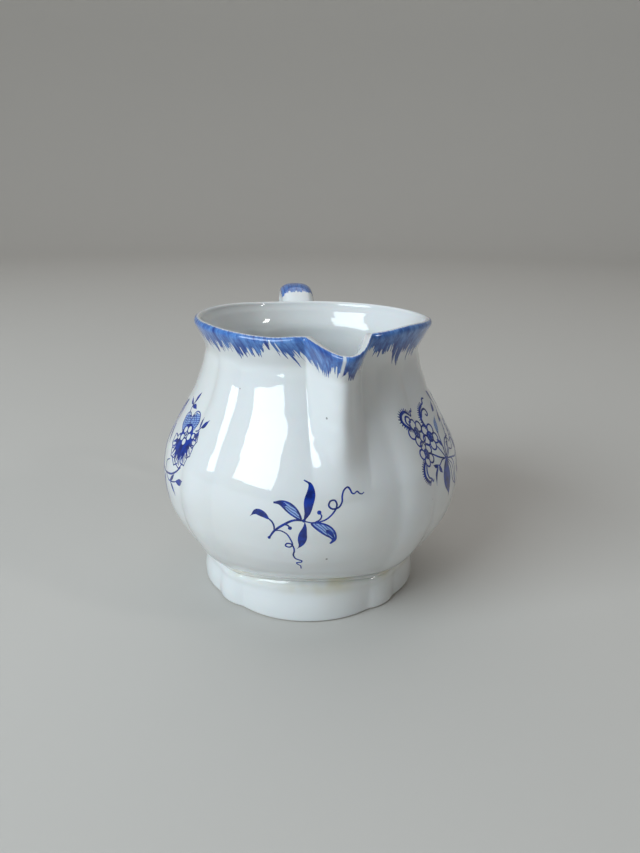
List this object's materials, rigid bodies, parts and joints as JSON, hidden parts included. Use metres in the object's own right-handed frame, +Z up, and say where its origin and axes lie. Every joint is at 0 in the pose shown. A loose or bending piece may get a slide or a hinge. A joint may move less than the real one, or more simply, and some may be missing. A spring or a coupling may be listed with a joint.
{
  "type": "cream jug",
  "caption": "Small glazed porcelain cream jug with a lobed, fluted body, flared rim, pulled pouring lip, scalloped foot ring and ear handle.",
  "frame": {"origin": "centre of the foot ring, on the plane that the jug stands on", "axes": "+Z up along the jug's axis, +Y towards the handle, -Y roughly towards the pouring lip"},
  "size_m": [0.1083, 0.1279, 0.1031],
  "materials": {
    "body_glaze": "clear gloss glaze over white porcelain, with cobalt blue feathered rim and printed flower sprays under the glaze",
    "foot_glaze": "clear gloss glaze, wiped off the resting edge",
    "handle_glaze": "clear gloss glaze with a brushed cobalt patch along the back",
    "slip": "white slip under a pool of clear glaze"
  },
  "bodies": {
    "root": {"vessel": "body_glaze", "foot_ring": "foot_glaze", "handle": "handle_glaze", "foot_luting": "slip", "handle_upper_luting": "slip", "handle_lower_luting": "slip"}
  },
  "joints": []
}
